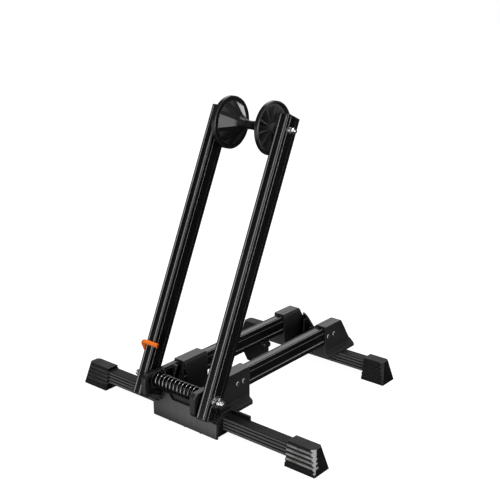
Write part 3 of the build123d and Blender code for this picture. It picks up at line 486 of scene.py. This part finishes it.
def vinyl(name, color):
    """Dipped soft vinyl: glossy skin with gentle waves and a deeper tint in its folds."""
    material, tree, shader = new_material(name, color, 0.32)
    shader.inputs["Subsurface Weight"].default_value = 0.15
    shader.inputs["Subsurface Radius"].default_value = (1.2 * MM, 0.5 * MM, 0.2 * MM)
    shader.inputs["Coat Weight"].default_value = 0.35
    shader.inputs["Coat Roughness"].default_value = 0.2
    row = place_in_row(tree)
    wave = noise(tree, row, 260.0, 3.0)
    deep = (color[0] * 0.85, color[1] * 0.7, color[2] * 0.6)
    tinted = mix_color(tree, remap(tree, wave, 0.35, 0.7, 0.0, 0.8), color, deep)
    tree.links.new(tinted, shader.inputs["Base Color"])
    tree.links.new(remap(tree, wave, 0.3, 0.7, 0.24, 0.42), shader.inputs["Roughness"])
    bump(tree, shader, wave, 0.25, 0.15 * MM)
    return material


# Painted shade in corners, painted light on the front wall, and edges paler from wear and painted highlight.
MOULDING = moulded(
    "moulding",
    (0.0115, 0.0115, 0.012),
    0.34,
    least=0.02,
    edge_reach=1.6 * MM,
    edge_range=(0.01, 0.12),
    edge_wear_highlight_color=(0.13, 0.13, 0.131),
    wall=True,
)
# Painted shade in corners, and painted highlights on the facet ridges from the edge colour.
CONE_PLASTIC = moulded(
    "cone_plastic",
    (0.006, 0.006, 0.0062),
    0.2,
    grain=0.8 * MM,
    relief=0.01 * MM,
    least=0.7,
    edge_reach=0.7 * MM,
    edge_range=(0.004, 0.05),
    edge_wear_highlight_color=(0.14, 0.14, 0.14),
    back=True,
)
CAP_PLASTIC = moulded("cap_plastic", (0.008, 0.008, 0.0085), 0.42)
KNOB_PLASTIC = moulded("knob_plastic", (0.01, 0.01, 0.011), 0.32)
POLE_METAL = drawn("pole_anodised", (0.0008, 0.0008, 0.0009), 0.17, "z_lean")
RAIL_METAL = drawn("rail_anodised", (0.0008, 0.0008, 0.0009), 0.17, "y")
BAR_METAL = drawn("bar_anodised", (0.0016, 0.0016, 0.0017), 0.5, "x")
FOOT_RUBBER = rubber("foot_rubber", (0.003, 0.003, 0.003))
ZINC = plated("zinc", (0.64, 0.64, 0.635), 0.13)
# Painted highlight rings on the screw heads.
BLACK_STEEL = plated("black_steel", (0.1, 0.1, 0.102), 0.3, ring_highlights=True)
# Painted shade in the spring's hollows and back coils.
SPRING_STEEL = plated("spring_steel", (0.2, 0.2, 0.203), 0.13, shade_hollows=True)
VINYL = vinyl("orange_vinyl", (1.0, 0.21, 0.004))

SLOT_MATERIALS = {
    "moulding": MOULDING,
    "anodised": RAIL_METAL,
    "bar_black": BAR_METAL,
    "cone_plastic": CONE_PLASTIC,
    "cap_plastic": CAP_PLASTIC,
    "foot_rubber": FOOT_RUBBER,
    "zinc": ZINC,
    "black_steel": BLACK_STEEL,
    "spring_steel": SPRING_STEEL,
    "sleeve_vinyl": VINYL,
    "knob_plastic": KNOB_PLASTIC,
}


# ---- CAD nodes that stay: materials and eased edges ---------------------------


def ease_edges(piece, width):
    """Joins split vertices and rounds the sharp edges."""
    weld = piece.modifiers.new("weld", "WELD")
    weld.merge_threshold = 0.002 * MM
    bevel = piece.modifiers.new("eased_edges", "BEVEL")
    bevel.width = width
    bevel.segments = 3
    bevel.limit_method = "ANGLE"
    bevel.angle_limit = math.radians(30)
    bevel.harden_normals = True
    bevel.use_clamp_overlap = True


def smooth(mesh):
    """Smooth shading on every face."""
    mesh.polygons.foreach_set("use_smooth", [True] * len(mesh.polygons))


slot_of = {row["node"]: row["material_slot"] for row in frame["record"]["subparts"]}
EASE = {
    "moulding": 0.9 * MM,
    "anodised": 0.25 * MM,
    "bar_black": 0.3 * MM,
    "cone_plastic": 0.35 * MM,
    "cap_plastic": 0.3 * MM,
    "foot_rubber": 0.6 * MM,
    "zinc": 0.15 * MM,
    "black_steel": 0.15 * MM,
    "knob_plastic": 0.3 * MM,
    "sleeve_vinyl": 0.4 * MM,
    "spring_steel": 0,
}
for name, node in nodes.items():
    slot = slot_of[name]
    node.data.materials.clear()
    node.data.materials.append(POLE_METAL if name.endswith("_pole") else SLOT_MATERIALS[slot])
    if "custom_normal" in node.data.attributes:
        node.data.attributes.remove(node.data.attributes["custom_normal"])
    smooth(node.data)
    if EASE[slot]:
        ease_edges(node, EASE[slot])


# ---- Hardware that needs more shape than the CAD nodes have --------------------


def skin_faces(first, rows, size, ends=True):
    """Faces between rows of points, each a ring of this size, and over the two ends."""
    faces = []
    for row in range(rows - 1):
        low, high = first + row * size, first + (row + 1) * size
        for step in range(size):
            after = (step + 1) % size
            faces.append((low + step, low + after, high + after, high + step))
    if ends:
        faces.append(tuple(range(first, first + size)))
        faces.append(tuple(range(first + (rows - 1) * size, first + rows * size)))
    return faces


def add_mesh(name, points, faces, body, node, material, sharp):
    """A piece that rides a body and stands for a CAD node; sharp is in degrees."""
    mesh = bpy.data.meshes.new(name)
    mesh.from_pydata(points, [], faces)
    work = bmesh.new()
    work.from_mesh(mesh)
    bmesh.ops.recalc_face_normals(work, faces=work.faces)
    work.to_mesh(mesh)
    work.free()
    smooth(mesh)
    mesh.set_sharp_from_angle(angle=math.radians(sharp))
    mesh.materials.append(material)
    piece = bpy.data.objects.new(name, mesh)
    bpy.context.scene.collection.objects.link(piece)
    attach(piece, body)
    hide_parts(node)


def add_zinc(name, rings, body, node, sharp=35, ends=True):
    """A zinc-plated piece whose skin runs through rings of points."""
    points = [point for ring in rings for point in ring]
    faces = skin_faces(0, len(rings), len(rings[0]), ends)
    add_mesh(name, points, faces, body, node, ZINC, sharp)


def ring_at(along, place, side, reaches):
    """Points round the X line through a place, one for each distance from it."""
    ring = []
    for step, reach in enumerate(reaches):
        turn = 2 * math.pi * step / len(reaches)
        ring.append((side * along, place.y + reach * math.cos(turn), place.z + reach * math.sin(turn)))
    return ring


def lathe_rings(profile, place, side, segments=48):
    """Round rings from (distance from the middle plane, radius) pairs."""
    return [ring_at(along, place, side, [radius] * segments) for along, radius in profile]


def rounded_disc(start, end, bore, radius, ease):
    """Profile of a washer with eased outer corners, from its bore and back to it."""
    profile = [(start, bore)]
    for step in range(5):
        turn = math.pi / 2 * step / 4
        profile.append((start + ease - ease * math.cos(turn), radius - ease + ease * math.sin(turn)))
    for step in range(5):
        turn = math.pi / 2 * step / 4
        profile.append((end - ease + ease * math.sin(turn), radius - ease + ease * math.cos(turn)))
    profile.append((end, bore))
    return profile


def thread_rings(start, end, radius, pitch, place, side, segments=40):
    """Rings of a rod whose surface carries a screw thread and a bevelled end."""
    depth = 0.55 * pitch
    steps = int((end - start) / pitch * 6)
    rings = []
    for row in range(steps + 1):
        along = start + (end - start) * row / steps
        taper = min(1.0, 0.78 + (end - along) / (1.6 * pitch))
        reaches = []
        for step in range(segments):
            phase = (along / pitch + step / segments) % 1
            crest = radius - depth * max(0, 1 - 2.6 * abs(phase - 0.5))
            reaches.append(min(crest, radius * taper))
        rings.append(ring_at(along, place, side, reaches))
    return rings


def nut_rings(start, end, across, place, side, segments=72):
    """Rings of a hexagon nut with turned-down corners and a round locking collar."""
    top = start + (end - start) * 0.72
    flat_r = across / 2
    corner_r = flat_r / math.cos(math.pi / 6)
    rings = []
    for part in (0, 0.06, 0.14, 0.3, 0.7, 0.84, 0.94, 1):
        level = start + (top - start) * part
        depth = min(level - start, top - level)
        reaches = []
        for step in range(segments):
            off = (2 * math.pi * step / segments + math.pi / 6) % (math.pi / 3) - math.pi / 6
            reaches.append(min(flat_r / math.cos(off), flat_r * 0.985 + depth * 1.7, corner_r * 0.985))
        rings.append(ring_at(level, place, side, reaches))
    collar = [(top + (end - top) * part, across * reach) for part, reach in NUT_COLLAR]
    return rings + lathe_rings(collar, place, side, segments)


def hexagon(radius, segments):
    """Distances round a hexagon whose corners are this far from its middle."""
    reaches = []
    for step in range(segments):
        off = (2 * math.pi * step / segments) % (math.pi / 3) - math.pi / 6
        reaches.append(radius * math.cos(math.pi / 6) / math.cos(off))
    return reaches


def screw_rings(socket, outside, place, side, segments):
    """Rings of a screw, from its hexagon socket's floor out to the rim and down its body.

    socket and outside hold (distance from the middle plane, radius) pairs.
    """
    hole = [ring_at(along, place, side, hexagon(radius, segments)) for along, radius in socket]
    return hole + lathe_rings(outside, place, side, segments)


# share of the collar's length, and radius as a share of the width across the flats
NUT_COLLAR = ((0, 0.47), (0.55, 0.45), (0.9, 0.40), (1, 0.34))
WASHER_EASE = 0.35 * MM
HEAD_LENGTH = 6.0 * MM
CONE_SOCKET_R, CONE_SOCKET_DEPTH = 2.6 * MM, 3.4 * MM
CONE_THREAD = 11.0 * MM
for name, side in SIDES:
    arm = f"{name}_arm"
    for family, place, bolt_r in (("pivot", PIVOT, PIVOT_BOLT_R), ("cone", HUB, CONE_BOLT_R)):
        washer = f"{name}_{family}_washer"
        low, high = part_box(washer)
        profile = rounded_disc(*reach_out(washer), bolt_r, (high.y - low.y) / 2, WASHER_EASE)
        add_zinc(f"{washer}_turned", lathe_rings(profile, place, side, 64), arm, washer, ends=False)
        nut = f"{name}_{family}_nut"
        low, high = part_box(nut)
        across = min(high.y - low.y, high.z - low.z)
        rings = nut_rings(*reach_out(nut), across, place, side)
        add_zinc(f"{name}_{family}_lock_nut", rings, arm, nut, sharp=28)
    bolt = f"{name}_pivot_bolt"
    rings = thread_rings(*reach_out(bolt), PIVOT_BOLT_R, PIVOT_PITCH, PIVOT, side)
    add_zinc(f"{name}_pivot_stud", rings, arm, bolt, sharp=60)
    # the cone bolt's socket head, its plain shank and the thread on its tail
    bolt = f"{name}_cone_bolt"
    low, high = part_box(bolt)
    head_r = (high.y - low.y) / 2
    start, tail = reach_out(bolt)
    socket = (
        (start + CONE_SOCKET_DEPTH, 0.02 * MM),
        (start + CONE_SOCKET_DEPTH, CONE_SOCKET_R),
        (start, CONE_SOCKET_R),
    )
    outside = (
        (start, head_r - 0.5 * MM),
        (start + 0.15 * MM, head_r - 0.15 * MM),
        (start + 0.5 * MM, head_r),
        (start + HEAD_LENGTH, head_r),
        (start + HEAD_LENGTH, CONE_BOLT_R),
        (tail - CONE_THREAD, CONE_BOLT_R),
    )
    rings = screw_rings(socket, outside, HUB, side, 48)
    rings += thread_rings(tail - CONE_THREAD, tail, CONE_BOLT_R, CONE_PITCH, HUB, side, 48)[1:]
    add_zinc(f"{name}_cone_screw", rings, arm, bolt, sharp=40)


# how far below the top of a button head, and radius, in millimetres
BUTTON_SOCKET = ((1.1, 0.05), (1.1, 1.4), (0.12, 1.4))
BUTTON_OUTSIDE = (
    (0, 1.75),
    (0.1, 2.2),
    (0.45, 2.75),
    (1.0, 3.1),
    (1.5, SCREW_HEAD_R / MM),
    (1.8, SCREW_HEAD_R / MM),
    (1.8, 1.9),
    (9.0, 1.9),
)


def button_heads(node, segments=36):
    """Domed socket-head screws, four to a moulding, as one piece."""
    low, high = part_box(node)
    socket, outside = (
        [(high.x - down * MM, radius * MM) for down, radius in profile]
        for profile in (BUTTON_SOCKET, BUTTON_OUTSIDE)
    )
    points, faces = [], []
    for side in (-1, 1):
        for y in screw_places(node):
            place = Vector((0, y, (low.z + high.z) / 2))
            rings = screw_rings(socket, outside, place, side, segments)
            faces += skin_faces(len(points), len(rings), segments)
            points += [point for ring in rings for point in ring]
    add_mesh(f"{node}_domed", points, faces, "base", node, BLACK_STEEL, 40)


for node in ("front_socket_screws", "rear_socket_screws"):
    button_heads(node)


# ---- Floor, lights and camera --------------------------------------------------


FLOOR_HALF = 8.0
FLOOR_DIFFUSE = 0.25
FLOOR_GLOW = 0.93
ROOM_LEVEL = 0.04
# degrees from +Y towards +X, degrees above the floor, half width, strength
GLOWS = (
    (122, 2, 26, 3.0),
    (150, 14, 34, 1.3),
    (185, 14, 34, 1.0),
    (220, -14, 26, 0.9),
    (150, 50, 36, 1.0),
    (322, 34, 27, 1.7),
    (351, 12, 10, 3.0),
)
# name, place, width, height and power
LIGHTS = (
    ("overhead", (0.0, 0.3, 2.2), 0.9, 0.9, 30),
    ("side_card", (1.9, 0.1, 0.5), 0.5, 0.8, 16),
)
LIGHT_AIM = (0, 0, 0.2)
CAMERA_PLACE = (0.8167, -0.9977, 0.6328)
CAMERA_AIM = (0, -0.0097, 0.2277)
CAMERA_LENS = 66.4


def turned_towards(piece, aim):
    """Rotation that turns a light or camera from its place to a point."""
    return (Vector(aim) - piece.location).to_track_quat("-Z", "Y").to_euler()


def make_floor():
    """White paper that the stand is set on; it shows in no reflection."""
    mesh = bpy.data.meshes.new("floor")
    corners = [(x * FLOOR_HALF, y * FLOOR_HALF, 0) for x, y in ((-1, -1), (1, -1), (1, 1), (-1, 1))]
    mesh.from_pydata(corners, [], [(0, 1, 2, 3)])
    floor = bpy.data.objects.new("floor", mesh)
    bpy.context.scene.collection.objects.link(floor)
    material, tree, shader = new_material("floor_white", (FLOOR_DIFFUSE, FLOOR_DIFFUSE, FLOOR_DIFFUSE), 1.0)
    shader.inputs["Specular IOR Level"].default_value = 0
    shader.inputs["Emission Color"].default_value = (1, 1, 1, 1)
    shader.inputs["Emission Strength"].default_value = FLOOR_GLOW
    mesh.materials.append(material)
    floor.visible_glossy = False
    floor.visible_diffuse = False


def area_light(name, place, width, height, power):
    """A rectangle of light turned towards the stand."""
    light = bpy.data.lights.new(name, "AREA")
    light.energy = power
    light.shape = "RECTANGLE"
    light.size = width
    light.size_y = height
    lamp = bpy.data.objects.new(name, light)
    lamp.location = place
    lamp.rotation_euler = turned_towards(lamp, LIGHT_AIM)
    bpy.context.scene.collection.objects.link(lamp)


def make_world():
    """White backdrop for the camera; soft glows round the room light everything else."""
    world = bpy.data.worlds.new("studio")
    bpy.context.scene.world = world
    world.use_nodes = True
    tree = world.node_tree
    tree.nodes.clear()
    output = tree.nodes.new("ShaderNodeOutputWorld")
    backdrop = tree.nodes.new("ShaderNodeBackground")
    backdrop.inputs["Strength"].default_value = 1.0
    backdrop.inputs["Color"].default_value = (1, 1, 1, 1)
    room = tree.nodes.new("ShaderNodeBackground")
    room.inputs["Color"].default_value = (1, 1, 1, 1)
    coords = tree.nodes.new("ShaderNodeTexCoord")
    total = ROOM_LEVEL
    for around, above, wide, level in GLOWS:
        turn, rise = math.radians(around), math.radians(above)
        aim = (math.sin(turn) * math.cos(rise), math.cos(turn) * math.cos(rise), math.sin(rise))
        facing = vector_node(tree, "DOT_PRODUCT", coords.outputs["Generated"], aim).outputs["Value"]
        rim, core = math.cos(math.radians(wide)), math.cos(math.radians(wide * 0.3))
        total = math_node(tree, "ADD", remap(tree, facing, rim, core, 0.0, level), total)
    tree.links.new(total, room.inputs["Strength"])
    path = tree.nodes.new("ShaderNodeLightPath")
    mix = tree.nodes.new("ShaderNodeMixShader")
    tree.links.new(path.outputs["Is Camera Ray"], mix.inputs["Fac"])
    tree.links.new(room.outputs[0], mix.inputs[1])
    tree.links.new(backdrop.outputs[0], mix.inputs[2])
    tree.links.new(mix.outputs[0], output.inputs["Surface"])


def make_camera():
    """The photo's point of view."""
    data = bpy.data.cameras.new("camera")
    data.lens = CAMERA_LENS
    data.sensor_width = 36
    camera = bpy.data.objects.new("camera", data)
    camera.location = CAMERA_PLACE
    camera.rotation_euler = turned_towards(camera, CAMERA_AIM)
    bpy.context.scene.collection.objects.link(camera)
    bpy.context.scene.camera = camera


make_floor()
make_world()
make_camera()
for row in LIGHTS:
    area_light(*row)
bpy.context.scene.view_settings.view_transform = "Standard"
